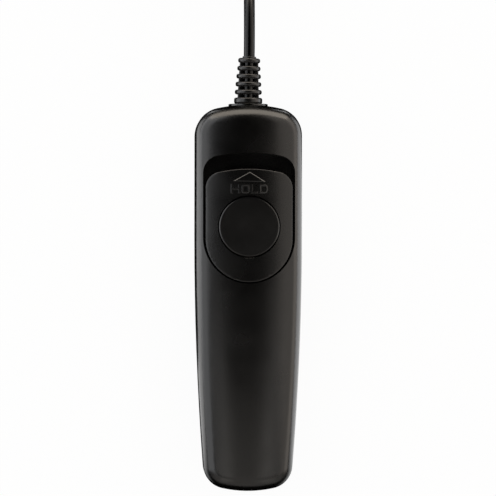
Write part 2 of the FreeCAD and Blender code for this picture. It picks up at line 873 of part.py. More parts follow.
def leaf_wire(tab_x, leaf_z, side_x, end_x, loop, gather):
    """An insulated wire from a solder tab, along one side of the block, to the cut end of the cord."""
    tab_end = block_bottom_y - tab_length
    top = leaf_z + leaf_thickness + wire_radius + slide_gap
    turn_y = tab_end - loop
    gather_y = jacket_end_y - gather
    path, radii = routed([
        V(tab_x, tab_end + wire_on_tab, top),
        V(tab_x, turn_y, top),
        V((tab_x + side_x) / 2, turn_y - wire_bend, (top + wire_run_z) / 2),
        V(side_x, turn_y + 2 * wire_radius, wire_run_z + wire_lift),
        V(side_x, turn_y + wire_run_from, wire_run_z),
        V(side_x, gather_y - wire_gather, wire_run_z),
        V(side_x, gather_y - wire_gather * 0.45, wire_run_z + wire_lift),
        V((side_x + end_x) / 2, gather_y - wire_gather * 0.1, (wire_run_z + split_z) / 2),
        V(end_x, gather_y + wire_gather_end, split_z),
        V(end_x, jacket_end_y, split_z),
    ])
    return tube(path, wire_radius)


# Plug

def plug_piece(profile):
    """A turned piece of the plug, laid where the cord's last bend ends."""
    piece = turned(profile)
    start = coil_path().Edges[-1].Vertexes[-1].Point
    piece.translate(start)
    return piece


def plug_relief_profile():
    """A cone with ribs: full width on each rib, drawn in between them."""
    corners = []
    steps = 2 * plug_relief_ribs
    growth = plug_relief_end_radius - plug_relief_start_radius
    for step in range(steps):
        radius = plug_relief_start_radius + growth * (step + 1) / steps
        if step % 2:
            radius -= plug_relief_notch
        for place in (step, step + 1):
            corners.append((plug_relief_length * place / steps, radius))
    return corners


def plug_groove_profile(middle):
    """Finger grooves round the grip."""
    corners = []
    low = plug_grip_radius - plug_groove_depth
    for number in range(plug_groove_count):
        along = middle + (number - (plug_groove_count - 1) / 2) * plug_groove_pitch
        start = along - plug_groove_width / 2
        end = along + plug_groove_width / 2
        corners += [(start, plug_grip_radius), (start, low), (end, low), (end, plug_grip_radius)]
    return corners


def plug_pieces():
    grip_from = plug_relief_length
    grip_to = grip_from + plug_grip_length
    sleeve_from = grip_to + plug_flange_thickness
    sleeve_to = sleeve_from + plug_sleeve_length
    ring_from = sleeve_to + plug_insulator_length
    ring_to = ring_from + plug_ring_length
    tip_from = ring_to + plug_insulator_length
    tip_to = tip_from + plug_tip_length
    edge = plug_grip_edge
    pin = plug_pin_radius
    relief = plug_piece(plug_relief_profile())
    grip = plug_piece(
        [(grip_from, plug_grip_radius - edge), (grip_from + edge, plug_grip_radius)]
        + plug_groove_profile((grip_from + grip_to) / 2)
        + [(grip_to - edge, plug_grip_radius), (grip_to, plug_grip_radius - edge)]
    )
    sleeve = plug_piece([
        (grip_to, plug_flange_radius),
        (sleeve_from, plug_flange_radius),
        (sleeve_from, pin),
        (sleeve_to, pin),
    ])
    ring = plug_piece([(ring_from, pin), (ring_to, pin)])
    tip = plug_piece([
        (tip_from, pin),
        (tip_from + plug_notch_from, pin),
        (tip_from + plug_notch_from + plug_notch_length / 2, plug_notch_radius),
        (tip_from + plug_notch_from + plug_notch_length, pin),
        (tip_to, plug_tip_radius),
    ])
    insulators = Part.makeCompound([
        plug_piece([(sleeve_to, pin), (ring_from, pin)]),
        plug_piece([(ring_to, pin), (tip_from, pin)]),
    ])
    return {
        "plug_relief": relief,
        "plug_grip": grip,
        "plug_sleeve": sleeve,
        "plug_ring": ring,
        "plug_tip": tip,
        "plug_insulators": insulators,
    }


def save(name, shape):
    if not shape.isValid():
        print(f"{name} isn't a valid shape")
    shape.exportStep(os.path.join("parts", name + ".step"))


os.makedirs("parts", exist_ok=True)

handle = handle_form(0)
inside = handle_form(wall)
save("front_shell", front_shell(handle, handle_form(wall / 2), inside))
save("rear_shell", rear_shell(handle, inside))
save("hold_slider", hold_slider())
save("release_button", release_button())

save("contact_block", contact_block())
save("shutter_leaf", leaf(shutter_leaf_z, tab_aside, False))
save("lower_spacer", spacer(shutter_leaf_z + leaf_thickness))
save("focus_leaf", leaf(focus_leaf_z, -tab_aside, False))
save("upper_spacer", spacer(focus_leaf_z + leaf_thickness))
save("common_leaf", leaf(common_leaf_z, 0, True))
save("clamp_plate", clamp_plate())
stack_screw_length = clamp_plate_top_z - block_bottom_z - block_floor - screw_end_gap
save("stack_screws", screws_down(
    [(0, y) for y in stack_screw_places], clamp_plate_top_z, stack_screw_length,
))
save("block_screws", screws_down(block_screw_places, block_top_z, block_top_z - wall))

save("case_screws", case_screws())
save("cord_clamp", cord_clamp())
clamp_screw_length = cord_clamp_thickness + cord_clamp_gap + clamp_screw_grip
save("clamp_screws", screws_down(clamp_screw_places, cord_clamp_z + cord_clamp_thickness, clamp_screw_length))

save("strain_relief", strain_relief())
save("cord_jacket", cord_jacket())
inside_x = handle_width / 2 - wall
focus_x = focus_wire_from_wall - inside_x
ground_x = ground_wire_from_wall - inside_x
shutter_x = inside_x - shutter_wire_from_wall
save("focus_wire", leaf_wire(-tab_aside, focus_leaf_z, focus_x, 0, focus_wire_loop, focus_wire_gather))
save("ground_wire", leaf_wire(
    0, common_leaf_z, ground_x, -wire_spread, ground_wire_loop, ground_wire_gather,
))
save("shutter_wire", leaf_wire(
    tab_aside, shutter_leaf_z, shutter_x, wire_spread, shutter_wire_loop, shutter_wire_gather,
))

lead_path, lead_radii = routed(lead_points)
lead = tube(lead_path, cord_radius)
save("cord_lead", lead)
report_tube("cord_lead", lead_path, cord_radius, lead, lead_radii)

wound_path = coil_path()
coil = tube(wound_path, cord_radius)
save("cord_coil", coil)
report_tube("cord_coil", wound_path, cord_radius, coil, coil_radii(wound_path))
print(f"cord_coil: least gap to itself {least_gap(wound_path, 2 * cord_radius):.2f}")
save("cord_tie", cord_tie())

for piece_name, piece_solid in plug_pieces().items():
    save(piece_name, piece_solid)
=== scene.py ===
"""A wired shutter release that lies on its back on a white table, seen from straight above."""
import math

import bmesh
import bpy
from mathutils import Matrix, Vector
from mathutils.geometry import convex_hull_2d


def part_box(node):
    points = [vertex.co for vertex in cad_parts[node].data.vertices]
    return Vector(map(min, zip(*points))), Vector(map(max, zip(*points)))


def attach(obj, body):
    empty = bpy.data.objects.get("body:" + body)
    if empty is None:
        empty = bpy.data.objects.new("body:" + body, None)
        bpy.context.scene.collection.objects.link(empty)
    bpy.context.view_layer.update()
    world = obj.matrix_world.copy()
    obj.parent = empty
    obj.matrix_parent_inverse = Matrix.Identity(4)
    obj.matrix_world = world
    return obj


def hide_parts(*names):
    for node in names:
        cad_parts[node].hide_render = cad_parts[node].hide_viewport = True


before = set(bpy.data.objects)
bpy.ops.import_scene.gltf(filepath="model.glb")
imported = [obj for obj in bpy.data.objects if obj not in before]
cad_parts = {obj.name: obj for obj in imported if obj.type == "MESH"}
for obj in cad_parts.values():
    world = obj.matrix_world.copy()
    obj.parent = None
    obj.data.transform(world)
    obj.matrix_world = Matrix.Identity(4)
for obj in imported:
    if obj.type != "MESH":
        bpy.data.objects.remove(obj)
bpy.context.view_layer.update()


# The view
# A long lens straight above the handle, leaning a little to its left side and hardly turned at all.
# The picture is 135.1 mm across at the level of the cord, and its middle is a little above the handle's.
mm = 0.001
view_width = 135.1 * mm
view_middle = Vector((0, 13.38 * mm, 10 * mm))
view_distance = 0.85
view_lean = math.radians(2.2)
view_turn = math.radians(0.08)

camera_data = bpy.data.cameras.new("camera")
camera_data.sensor_width = 36
camera_data.lens = camera_data.sensor_width * view_distance / view_width
camera_data.clip_start = 0.01
camera = bpy.data.objects.new("camera", camera_data)
camera.location = view_middle + Vector((-math.sin(view_lean), 0, math.cos(view_lean))) * view_distance
camera.rotation_euler = (0, -view_lean, view_turn)
bpy.context.scene.collection.objects.link(camera)
bpy.context.scene.camera = camera


# Cord
# One length of round three-core cable in a soft black sheath, 3 mm thick and 0.9 m long. It starts at the
# clamp in the handle, comes down to the table past the strain relief, and is wound up and tied. Its last
# stretch makes a tighter quarter turn and rises to the plug, which lies on the coil.
cord_diameter = 3.0 * mm
cord_start_y = 41.1 * mm
cord_axis_z = 9.5 * mm
coil_middle = Vector((-7.0 * mm, 115.45 * mm, 0))
coil_outer_radius = 19.1 * mm
coil_pitch = 3.55 * mm
coil_first_z = 1.85 * mm
layer_turns = (1.5, 1.5, 1.5, 1.25)
climb_turns = 0.5
climb_swing = 0.5 * coil_pitch
coil_turns = sum(layer_turns) + climb_turns * len(layer_turns)
points_per_turn = 16
free_route = (
    (0, cord_start_y, cord_axis_z), (0, 0.054, cord_axis_z), (0.00031, 0.0656, cord_axis_z),
    (0.00033, 0.07595, 0.0095), (0.0004, 0.08645, 0.005), (0.0063, 0.09645, 0.0021),
    (0.0121, 0.10495, 0.00185), (0.0121, 0.11245, 0.00185),
)
plug_axis_z = 17.6 * mm
tuck_radius = 11.0 * mm
tuck_shares = ((0.268, 0, 0.1), (0.732, 0.268, 0.5), (1, 0.732, 0.9))


def new_material(name):
    material = bpy.data.materials.new(name)
    material.use_nodes = True
    nodes = material.node_tree.nodes
    return material, nodes, material.node_tree.links, nodes["Principled BSDF"]


def object_place(nodes, links, stretch=(1, 1, 1)):
    """The place on the piece, drawn out or in along each axis."""
    mapping = nodes.new("ShaderNodeMapping")
    mapping.inputs["Scale"].default_value = stretch
    links.new(nodes.new("ShaderNodeTexCoord").outputs["Object"], mapping.inputs["Vector"])
    return mapping.outputs["Vector"]


def noise(nodes, links, where, size, detail=2.0):
    """Noise with features of about one size, in metres."""
    node = nodes.new("ShaderNodeTexNoise")
    node.inputs["Scale"].default_value = 1 / size
    node.inputs["Detail"].default_value = detail
    links.new(where, node.inputs["Vector"])
    return node.outputs["Fac"]


def ranged(nodes, links, value, low, high, start=0.3, end=0.7):
    """A value brought from one range to another, and kept inside it."""
    node = nodes.new("ShaderNodeMapRange")
    node.inputs["From Min"].default_value = start
    node.inputs["From Max"].default_value = end
    node.inputs["To Min"].default_value = low
    node.inputs["To Max"].default_value = high
    links.new(value, node.inputs["Value"])
    return node.outputs["Result"]


def mixed(nodes, links, share, first, second):
    """One colour turning into another."""
    node = nodes.new("ShaderNodeMix")
    node.data_type = "RGBA"
    links.new(share, node.inputs["Factor"])
    # Of the sockets called A, B and Result, these are the ones for colour
    node.inputs[6].default_value = (*first, 1)
    node.inputs[7].default_value = (*second, 1)
    return node.outputs[2]


def bumped(nodes, links, shader, height, depth):
    bump = nodes.new("ShaderNodeBump")
    bump.inputs["Distance"].default_value = depth
    links.new(height, bump.inputs["Height"])
    links.new(bump.outputs["Normal"], shader.inputs["Normal"])


def black_plastic(name, colour, gloss, roughness, grain_size, grain_depth, mottle=0.12, sheen=0.0):
    """Black plastic or rubber: grained, with a slightly uneven gloss and shade."""
    material, nodes, links, shader = new_material(name)
    shader.inputs["IOR"].default_value = 1.6
    shader.inputs["Specular IOR Level"].default_value = gloss
    shader.inputs["Sheen Weight"].default_value = sheen
    shader.inputs["Sheen Roughness"].default_value = 0.25
    where = object_place(nodes, links)
    patches = ranged(nodes, links, noise(nodes, links, where, 1.3 * mm), 0, 1)
    dark, light = ([c * (1 + sign * mottle) for c in colour] for sign in (-1, 1))
    links.new(mixed(nodes, links, patches, dark, light), shader.inputs["Base Color"])
    broad = noise(nodes, links, where, 9 * mm)
    links.new(ranged(nodes, links, broad, roughness - 0.03, roughness + 0.03), shader.inputs["Roughness"])
    bumped(nodes, links, shader, noise(nodes, links, where, grain_size, 1.0), grain_depth)
    return material


def coil_place(turns, widened):
    """Where the coil's line is after some turns: in and out again, a layer higher each time."""
    start = 0.0
    inward = True
    radius = coil_outer_radius
    z = coil_first_z
    for count in layer_turns:
        sign = -1 if inward else 1
        if turns <= start + count:
            radius += sign * coil_pitch * (turns - start)
            break
        radius += sign * coil_pitch * count
        start += count
        climb = min((turns - start) / climb_turns, 1.0)
        radius += sign * climb_swing * climb * (1 - climb)
        z += coil_pitch * (1 - math.cos(math.pi * climb)) / 2
        if turns <= start + climb_turns:
            break
        start += climb_turns
        inward = not inward
    angle = math.tau * turns
    out = radius * widened
    return coil_middle + Vector((out * math.cos(angle), out * math.sin(angle), z))


def cord_route():
    """The points that the cord's line is drawn to, from the clamp in the handle to the plug."""
    points = list(free_route)
    # A spline runs inside its points, so the coil's points lie that much further out
    widened = 1 / math.cos(math.pi / points_per_turn)
    for step in range(1, round(coil_turns * points_per_turn)):
        points.append(coil_place(step / points_per_turn, widened))
    last = coil_place(coil_turns, 1.0)
    rise = plug_axis_z - last.z
    for aside, along, up in tuck_shares:
        points.append(last + Vector((tuck_radius * aside, tuck_radius * along, rise * up)))
    points.append((last.x + tuck_radius, last.y + tuck_radius + cord_diameter, plug_axis_z))
    return points


def spline_curve(name, points, diameter):
    data = bpy.data.curves.new(name, "CURVE")
    data.dimensions = "3D"
    spline = data.splines.new("NURBS")
    spline.points.add(len(points) - 1)
    for place, point in zip(spline.points, points):
        place.co = (*point, 1)
        place.radius = diameter / 2
    spline.order_u = 3
    spline.use_endpoint_u = True
    spline.resolution_u = 6
    data.bevel_depth = 1.0
    data.bevel_resolution = 8
    data.use_fill_caps = True
    curve = bpy.data.objects.new(name, data)
    bpy.context.scene.collection.objects.link(curve)
    return curve


cord = spline_curve("cord", cord_route(), cord_diameter)
cord_sheath = black_plastic(
    "cord_sheath", (0.0008, 0.0008, 0.0008), 0.5, 0.2, 0.2 * mm, 0.002 * mm,
)
cord.data.materials.append(cord_sheath)
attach(cord, "handle")
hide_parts("cord_jacket", "cord_lead", "cord_coil")


# Shells
# The two halves of the handle are injection moulded in black, with the fine even grain of an etched mould.
# They meet at a shadow line all round, and three screws from the rear hold them together.
shell_plastic = black_plastic("shell_plastic", (0.0007, 0.00065, 0.00065), 1.0, 0.25, 0.16 * mm, 0.003 * mm)


def shade_round(build, sharp):
    """Round faces shade smoothly, and edges sharper than an angle stay crisp."""
    for face in build.faces:
        face.smooth = True
        face.material_index = 0
    for edge in build.edges:
        edge.smooth = len(edge.link_faces) == 2 and edge.calc_face_angle() < math.radians(sharp)


def smoothed(node, material, body, sharp=28):
    """Puts a merged copy of a node, with its round faces shaded round, in the node's place."""
    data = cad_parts[node].data.copy()
    data.materials.clear()
    data.materials.append(material)
    build = bmesh.new()
    build.from_mesh(data)
    bmesh.ops.remove_doubles(build, verts=build.verts, dist=0.001 * mm)
    shade_round(build, sharp)
    build.to_mesh(data)
    build.free()
    piece = bpy.data.objects.new(node + "_skin", data)
    bpy.context.scene.collection.objects.link(piece)
    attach(piece, body)
    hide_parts(node)


smoothed("rear_shell", shell_plastic, "handle")
smoothed("front_shell", shell_plastic, "handle")


# Contact block and spacers
# Plain dark moulded plastic: the block stands on two posts of the rear shell and carries the contact leaves,
# which two thin spacers keep apart. The cord clamp is moulded from the same plastic.

def inner_plastic_material():
    material, nodes, links, shader = new_material("inner_plastic")
    shader.inputs["Specular IOR Level"].default_value = 0.5
    where = object_place(nodes, links)
    flow = noise(nodes, links, object_place(nodes, links, (1, 0.2, 1)), 1.5 * mm, 3.0)
    flow_share = ranged(nodes, links, flow, 0, 1)
    shade = mixed(nodes, links, flow_share, (0.042, 0.042, 0.046), (0.06, 0.06, 0.066))
    links.new(shade, shader.inputs["Base Color"])
    links.new(ranged(nodes, links, flow, 0.4, 0.52), shader.inputs["Roughness"])
    bumped(nodes, links, shader, noise(nodes, links, where, 0.12 * mm, 1.0), 0.004 * mm)
    return material


inner_plastic = inner_plastic_material()
smoothed("contact_block", inner_plastic, "handle")
smoothed("lower_spacer", inner_plastic, "handle")
smoothed("upper_spacer", inner_plastic, "handle")


# Contact leaves
# Three strips of rolled brass spring, each with a round contact at its free end under the button and a solder
# tab at the other. Rolling leaves fine lines along the strip.

def contact_metal_material():
    material, nodes, links, shader = new_material("contact_metal")
    shader.inputs["Metallic"].default_value = 1.0
    lines = noise(nodes, links, object_place(nodes, links, (1, 0.03, 1)), 0.15 * mm, 3.0)
    tarnish = noise(nodes, links, object_place(nodes, links), 3 * mm, 4.0)
    tarnish_share = ranged(nodes, links, tarnish, 0, 1)
    shade = mixed(nodes, links, tarnish_share, (0.8, 0.62, 0.33), (0.72, 0.53, 0.26))
    links.new(shade, shader.inputs["Base Color"])
    links.new(ranged(nodes, links, lines, 0.24, 0.36), shader.inputs["Roughness"])
    bumped(nodes, links, shader, lines, 0.003 * mm)
    return material


def dress(node, material):
    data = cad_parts[node].data
    data.materials.clear()
    data.materials.append(material)


contact_metal = contact_metal_material()
dress("shutter_leaf", contact_metal)
dress("focus_leaf", contact_metal)
dress("common_leaf", contact_metal)


# Clamp plate and screws
# Cross-head screws and the plate over the leaves are steel with a thin dark zinc plating, a little cloudy.
# The three longest ones come in from the rear and hold the shells together.

def screw_steel_material():
    material, nodes, links, shader = new_material("screw_steel")
    shader.inputs["Metallic"].default_value = 1.0
    cloud = noise(nodes, links, object_place(nodes, links), 0.9 * mm, 4.0)
    cloud_share = ranged(nodes, links, cloud, 0, 1)
    shade = mixed(nodes, links, cloud_share, (0.32, 0.32, 0.335), (0.39, 0.385, 0.39))
    links.new(shade, shader.inputs["Base Color"])
    links.new(ranged(nodes, links, cloud, 0.28, 0.42), shader.inputs["Roughness"])
    bumped(nodes, links, shader, noise(nodes, links, object_place(nodes, links), 0.08 * mm, 1.0), 0.002 * mm)
    return material


screw_steel = screw_steel_material()
smoothed("clamp_plate", screw_steel, "handle")
smoothed("stack_screws", screw_steel, "handle")
smoothed("block_screws", screw_steel, "handle")
smoothed("case_screws", screw_steel, "handle")


# Hold slider
# The plate that the button sits in, moulded in black with the grain of the shells and nearly their gloss. An
# arrow head and the word of its locked state stand up from it, moulded in one with it, with sloping edges.
slider_plastic = black_plastic("slider_plastic", (0.0012, 0.0012, 0.0012), 0.9, 0.27, 0.16 * mm, 0.003 * mm)
smoothed("hold_slider", slider_plastic, "slider")
crown_radius = 36 * mm
crown_length_radius = 560 * mm
crown_top = Vector((0, 18 * mm, 20 * mm))
mark_height = 0.09 * mm
word_height = 0.072 * mm
mark_slope = 0.17 * mm
mark_root = 0.1 * mm
bar_slope_share = 0.92

# The outlines of the marks, in millimetres: corners of the arrow head, sides and ends of the letters' bars,
# and sides and corner roundings of the letters' rings
arrow_corners = ((-4.4, 31.42), (4.4, 31.25), (0.12, 33.92))
arrow_cuts = 9
stroke = 0.6
letter_low = 28.12
letter_high = 30.65
letter_corner = 0.65
letter_bars = (
    (-5.05, -5.05 + stroke, letter_low, letter_high), (-3.05, -3.05 + stroke, letter_low, letter_high),
    (-4.75, -2.75, 29.1, 29.1 + stroke), (0.3, 0.3 + stroke, letter_low, letter_high),
    (0.3, 2.3, letter_low, letter_low + stroke),
)
letter_rings = ((-2.2, 0.05, (1, 1, 1, 1)), (2.6, 4.95, (0, 1.5, 1.5, 0)))


def crowned(build):
    """Lays flat marks on the rounded front of the slider."""
    for vert in build.verts:
        across = crown_radius - math.sqrt(crown_radius ** 2 - vert.co.x ** 2)
        along = (vert.co.y - crown_top.y) ** 2 / (2 * crown_length_radius)
        vert.co.z += crown_top.z - across - along


def finished(name, build, material, body, slot, *stands_for, sharp=35):
    """Makes a built shape a piece: shaded, in its place, riding on its body."""
    shade_round(build, sharp)
    data = bpy.data.meshes.new(name)
    build.to_mesh(data)
    build.free()
    data.materials.append(material)
    piece = bpy.data.objects.new(name, data)
    bpy.context.scene.collection.objects.link(piece)
    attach(piece, body)
    if stands_for:
        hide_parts(*stands_for)


def arrow_mark():
    build = bmesh.new()
    outline = build.faces.new([build.verts.new((x * mm, y * mm, -mark_root)) for x, y in arrow_corners])
    raised = bmesh.ops.extrude_face_region(build, geom=[outline])["geom"]
    top = [item for item in raised if isinstance(item, bmesh.types.BMFace)]
    bmesh.ops.translate(build, verts=top[0].verts, vec=(0, 0, mark_root))
    bmesh.ops.inset_region(build, faces=top, thickness=mark_slope, depth=mark_height, use_even_offset=True)
    width = arrow_corners[1][0] - arrow_corners[0][0]
    for cut in range(1, arrow_cuts):
        x = (arrow_corners[0][0] + width * cut / arrow_cuts) * mm
        everything = build.verts[:] + build.edges[:] + build.faces[:]
        bmesh.ops.bisect_plane(build, geom=everything, plane_co=(x, 0, 0), plane_no=(1, 0, 0))
    bmesh.ops.recalc_face_normals(build, faces=build.faces)
    crowned(build)
    finished("slider_arrow", build, slider_plastic, "slider", "slider_plastic", sharp=15)


def add_to(build, other):
    """Adds one built shape to another."""
    data = bpy.data.meshes.new("part")
    other.to_mesh(data)
    other.free()
    build.from_mesh(data)
    bpy.data.meshes.remove(data)


def stroke_outline(left, right, low, high, corners):
    """A flat outline with its own rounding at each corner, sunk into the slider's front."""
    build = bmesh.new()
    places = ((left, low), (right, low), (right, high), (left, high))
    verts = [build.verts.new((x * mm, y * mm, -mark_root)) for x, y in places]
    build.faces.new(verts)
    for vert, share in zip(verts, corners):
        if share:
            bmesh.ops.bevel(
                build, geom=[vert], affect="VERTICES", offset=letter_corner * share * mm, segments=4,
                profile=0.5, material=-1,
            )
    raised = bmesh.ops.extrude_face_region(build, geom=build.faces[:])["geom"]
    top = [item for item in raised if isinstance(item, bmesh.types.BMFace)]
    bmesh.ops.translate(build, verts=top[0].verts, vec=(0, 0, mark_root))
    return build, top


def word_mark():
    """Plain square capitals of low ridges: the bars of H and L, and the rings of O and D."""
    word = bmesh.new()
    ridge = stroke / 2 * mm
    for left, right, low, high in letter_bars:
        build, top = stroke_outline(left, right, low, high, (0, 0, 0, 0))
        slope = ridge * bar_slope_share
        bmesh.ops.inset_region(build, faces=top, thickness=slope, depth=word_height, use_even_offset=True)
        add_to(word, build)
    for left, right, corners in letter_rings:
        build, top = stroke_outline(left, right, letter_low, letter_high, corners)
        bmesh.ops.inset_region(build, faces=top, thickness=ridge, depth=word_height, use_even_offset=True)
        bmesh.ops.inset_region(build, faces=top, thickness=ridge, depth=-word_height, use_even_offset=True)
        sunk = bmesh.ops.extrude_discrete_faces(build, faces=top)["faces"]
        bmesh.ops.translate(build, verts=sunk[0].verts, vec=(0, 0, -mark_root))
        add_to(word, build)
    bmesh.ops.recalc_face_normals(word, faces=word.faces)
    crowned(word)
    finished("slider_word", word, slider_plastic, "slider", "slider_plastic", sharp=15)


arrow_mark()
word_mark()


# Release button
# A round cap that sits just below the slider's front, moulded in black with a coarser, duller grain than the
# plate, so that a finger finds it. Its flange under the slider keeps it in.
button_plastic = black_plastic(
    "button_plastic", (0.0022, 0.0022, 0.0022), 0.9, 0.32, 0.3 * mm, 0.006 * mm, mottle=0.3,
)
smoothed("release_button", button_plastic, "button")


# Strain relief
# A soft rubber sleeve moulded over the cord: six ribs, smaller towards its tip, joined by two side rails with
# windows between them. Its flange lies inside the end wall, and the cord pulls its tip a little aside.
relief_rubber = black_plastic(
    "relief_rubber", (0.001, 0.001, 0.001), 0.9, 0.3, 0.12 * mm, 0.004 * mm, sheen=0.1,
)
relief_bore = 1.56 * mm
relief_flange = (48.3 * mm, 49.9 * mm, 4.2 * mm)
relief_neck = (49.9 * mm, 52.8 * mm, 2.8 * mm)
relief_lip = (65.0 * mm, 65.6 * mm, 1.85 * mm)
rib_count = 6
rib_pitch = 2.15 * mm
rib_width = 1.25 * mm
first_rib_y = 53.1 * mm
first_rib_foot = 0.4 * mm
first_rib_radius = 3.85 * mm
last_rib_radius = 3.0 * mm
rib_edge = 0.5 * mm
rail_section = (
    (1.4, -0.4), (2.0, -0.4), (2.0, -1.3), (2.95, -1.3), (2.95, 1.3), (2.0, 1.3), (2.0, 0.4), (1.4, 0.4),
)
rail_edge = 0.25 * mm
rail_taper = 0.968
lean_from = 51.0 * mm
lean_to = 65.6 * mm
lean_reach = 0.32 * mm


def turned(corners, rounded=(), edge=0.0, steps=56):
    """A ring spun about the Y axis from the (distance along Y, radius) corners of its section."""
    build = bmesh.new()
    verts = [build.verts.new((radius, along, 0)) for along, radius in corners]
    build.faces.new(verts)
    if rounded:
        bmesh.ops.bevel(
            build, geom=[verts[number] for number in rounded], affect="VERTICES", offset=edge,
            segments=4, profile=0.5, material=-1,
        )
    bmesh.ops.delete(build, geom=build.faces[:], context="FACES_ONLY")
    bmesh.ops.spin(
        build, geom=build.verts[:] + build.edges[:], cent=(0, 0, 0), axis=(0, 1, 0), angle=math.tau,
        steps=steps, use_merge=True,
    )
    bmesh.ops.remove_doubles(build, verts=build.verts, dist=0.0005 * mm)
    bmesh.ops.recalc_face_normals(build, faces=build.faces)
    return build


def relief_ring(start, end, radius, edge):
    corners = ((start, relief_bore), (start, radius), (end, radius), (end, relief_bore))
    return turned(corners, (1, 2), edge)


def relief_rail(side):
    """A tapered bar beside the cord, with a thin web towards it, from the first rib to the last."""
    build = bmesh.new()
    section = [build.verts.new((side * x * mm, first_rib_y, z * mm)) for x, z in rail_section]
    faces = [build.faces.new(section)]
    for step in range(2 * rib_count - 2):
        made = bmesh.ops.extrude_face_region(build, geom=faces)["geom"]
        if step:
            bmesh.ops.delete(build, geom=faces, context="FACES_ONLY")
        faces = [item for item in made if isinstance(item, bmesh.types.BMFace)]
        bmesh.ops.translate(build, verts=faces[0].verts, vec=(0, rib_pitch / 2, 0))
        bmesh.ops.scale(build, verts=faces[0].verts, vec=(math.sqrt(rail_taper), 1, math.sqrt(rail_taper)))
    bmesh.ops.recalc_face_normals(build, faces=build.faces)
    outer = []
    for edge in build.edges:
        along = abs(edge.verts[0].co.y - edge.verts[1].co.y) > 0.1 * mm
        if along and all(abs(vert.co.x) > 2.3 * mm for vert in edge.verts):
            outer.append(edge)
    bmesh.ops.bevel(
        build, geom=outer, affect="EDGES", offset=rail_edge, segments=3, profile=0.5, material=-1,
    )
    return build


def strain_relief():
    build = relief_ring(*relief_flange, rib_edge)
    add_to(build, relief_ring(*relief_neck, 0.1 * mm))
    for number in range(rib_count):
        start = first_rib_y + number * rib_pitch
        end = start + rib_width
        if number == 0:
            start -= first_rib_foot
        radius = first_rib_radius + (last_rib_radius - first_rib_radius) * number / (rib_count - 1)
        add_to(build, relief_ring(start, end, radius, rib_edge))
    add_to(build, relief_ring(*relief_lip, 0.15 * mm))
    for side in (-1, 1):
        add_to(build, relief_rail(side))
    for vert in build.verts:
        share = max(vert.co.y - lean_from, 0) / (lean_to - lean_from)
        tilt = 2 * lean_reach * share / (lean_to - lean_from)
        vert.co.y -= tilt * vert.co.x
        vert.co.x += lean_reach * share ** 2
        vert.co.z += cord_axis_z
    finished("strain_relief_sleeve", build, relief_rubber, "handle", "relief_rubber", "strain_relief")


strain_relief()


# Cord clamp
# A small bridge of the dark inner plastic, screwed down over the cord's jacket so that a pull on the cord
# stays away from the wires.
smoothed("cord_clamp", inner_plastic, "handle")
smoothed("clamp_screws", screw_steel, "handle")


# Wires
# Three thin stranded wires in red extruded insulation, from the cut end of the cord along the inside of the
# rear shell to the tabs of the leaves.

def wire_insulation_material():
    material, nodes, links, shader = new_material("wire_insulation")
    shader.inputs["Specular IOR Level"].default_value = 0.6
    where = object_place(nodes, links)
    smudge = ranged(nodes, links, noise(nodes, links, where, 2 * mm, 3.0), 0, 1)
    shade = mixed(nodes, links, smudge, (0.38, 0.045, 0.04), (0.48, 0.07, 0.055))
    links.new(shade, shader.inputs["Base Color"])
    gloss = ranged(nodes, links, noise(nodes, links, where, 0.8 * mm), 0.24, 0.36)
    links.new(gloss, shader.inputs["Roughness"])
    drawn = noise(nodes, links, object_place(nodes, links, (1, 0.1, 1)), 0.15 * mm, 1.0)
    bumped(nodes, links, shader, drawn, 0.003 * mm)
    return material


wire_insulation = wire_insulation_material()
smoothed("focus_wire", wire_insulation, "handle")
smoothed("shutter_wire", wire_insulation, "handle")
smoothed("ground_wire", wire_insulation, "handle")


# Cord tie
# A flat strip of black plastic over a soft steel wire, which makes a low ridge along its middle. It goes once
# round the wound cord, and its two ends are twisted together.
tie_plastic = black_plastic("tie_plastic", (0.012, 0.012, 0.013), 0.6, 0.38, 0.4 * mm, 0.01 * mm)
tie_thickness = 0.15 * mm
tie_gap = 0.1 * mm
tie_round_steps = 24
tie_rows = ((1.05, 0.0), (0.2, 0.08), (0.5, 0.0), (0.2, -0.08), (1.05, 0.0))
twist_section = ((-0.62, -0.22), (0.62, -0.22), (0.62, 0.22), (-0.62, 0.22))
twist_length = 3.75 * mm
twist_turns = 2.5
twist_steps = 60
twist_lean = (0.3, 0.2, 1.0)


def tie_crossings():
    """The middles of the cord's turns where the tie goes round them."""
    return [coil_place(turn + 0.5, 1.0) for turn in range(math.ceil(coil_turns))]


